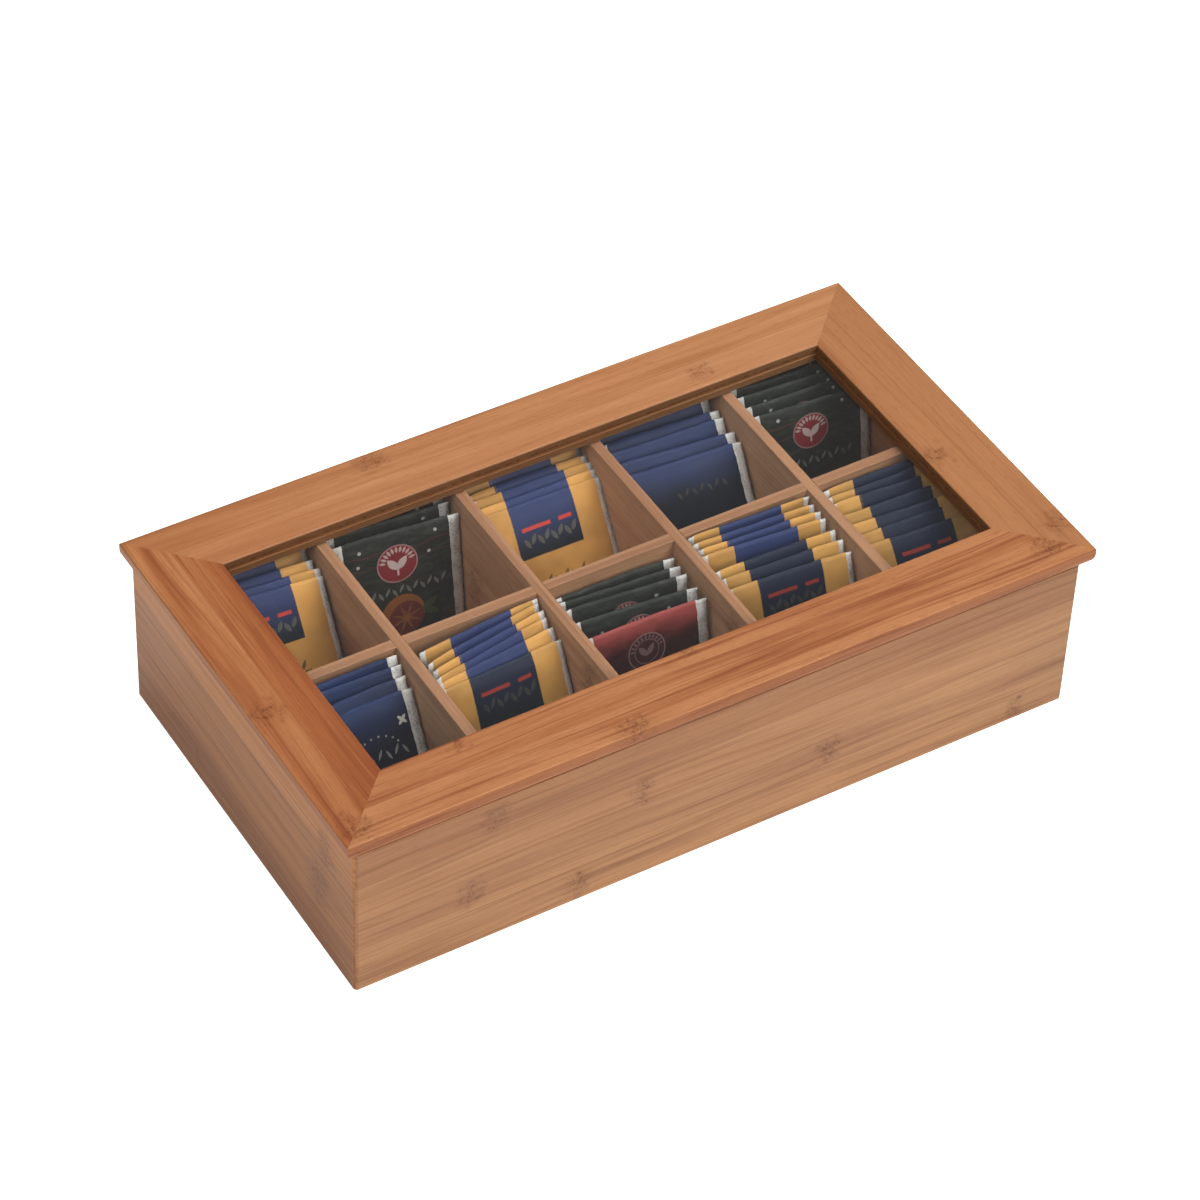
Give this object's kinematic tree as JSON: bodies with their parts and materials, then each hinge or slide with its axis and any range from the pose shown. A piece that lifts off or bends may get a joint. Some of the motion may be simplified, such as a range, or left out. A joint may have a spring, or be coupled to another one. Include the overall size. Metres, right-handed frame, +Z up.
{
  "type": "tea box",
  "caption": "Low rectangular bamboo tea box: a mitred box divided into two rows of square compartments under a hinged lid, a mitred frame round a glass pane.",
  "frame": {"origin": "centre of the box's flat underside, on the surface it stands on", "axes": "+X along the long front towards the right, +Y from the front to the hinged back, +Z up"},
  "size_m": [0.36, 0.2057, 0.0895],
  "materials": {
    "bamboo_box": "satin lacquered strip-laminated bamboo",
    "bamboo_floor": "unlacquered thin bamboo board",
    "bamboo_divider": "sanded bamboo strip",
    "bamboo_lid": "satin lacquered caramel bamboo",
    "glass": "clear polished float glass",
    "hinge_metal": "nickel plated",
    "screw_metal": "nickel plated",
    "sachet_blue": "printed paper envelope, deep blue with an ochre border",
    "sachet_green": "printed paper envelope, very dark green",
    "sachet_royal": "printed paper envelope, royal blue"
  },
  "bodies": {
    "box": {"front_panel": "bamboo_box", "back_panel": "bamboo_box", "left_panel": "bamboo_box", "right_panel": "bamboo_box", "floor_panel": "bamboo_floor", "long_divider": "bamboo_divider", "cross_divider_1": "bamboo_divider", "cross_divider_2": "bamboo_divider", "cross_divider_3": "bamboo_divider", "cross_divider_4": "bamboo_divider", "left_hinge_box_leaf": "hinge_metal", "left_hinge_pin": "hinge_metal", "right_hinge_box_leaf": "hinge_metal", "right_hinge_pin": "hinge_metal", "box_hinge_screws": "screw_metal", "sachets_back_1": "sachet_blue", "sachets_back_3": "sachet_blue", "sachets_front_2": "sachet_blue", "sachets_front_4": "sachet_blue", "sachets_front_5": "sachet_blue", "sachets_back_2": "sachet_green", "sachets_back_5": "sachet_green", "sachets_front_3": "sachet_green", "sachets_back_4": "sachet_royal", "sachets_front_1": "sachet_royal"},
    "lid": {"lid_front_rail": "bamboo_lid", "lid_back_rail": "bamboo_lid", "lid_left_rail": "bamboo_lid", "lid_right_rail": "bamboo_lid", "glass_pane": "glass", "left_hinge_lid_leaf": "hinge_metal", "right_hinge_lid_leaf": "hinge_metal", "lid_hinge_screws": "screw_metal"}
  },
  "joints": [
    {"name": "lid_hinge", "type": "hinge", "parent": "box", "child": "lid", "pos_m": [0, 0.102, 0.0797], "axis": [-1, 0, 0], "range_deg": [0, 100]}
  ]
}
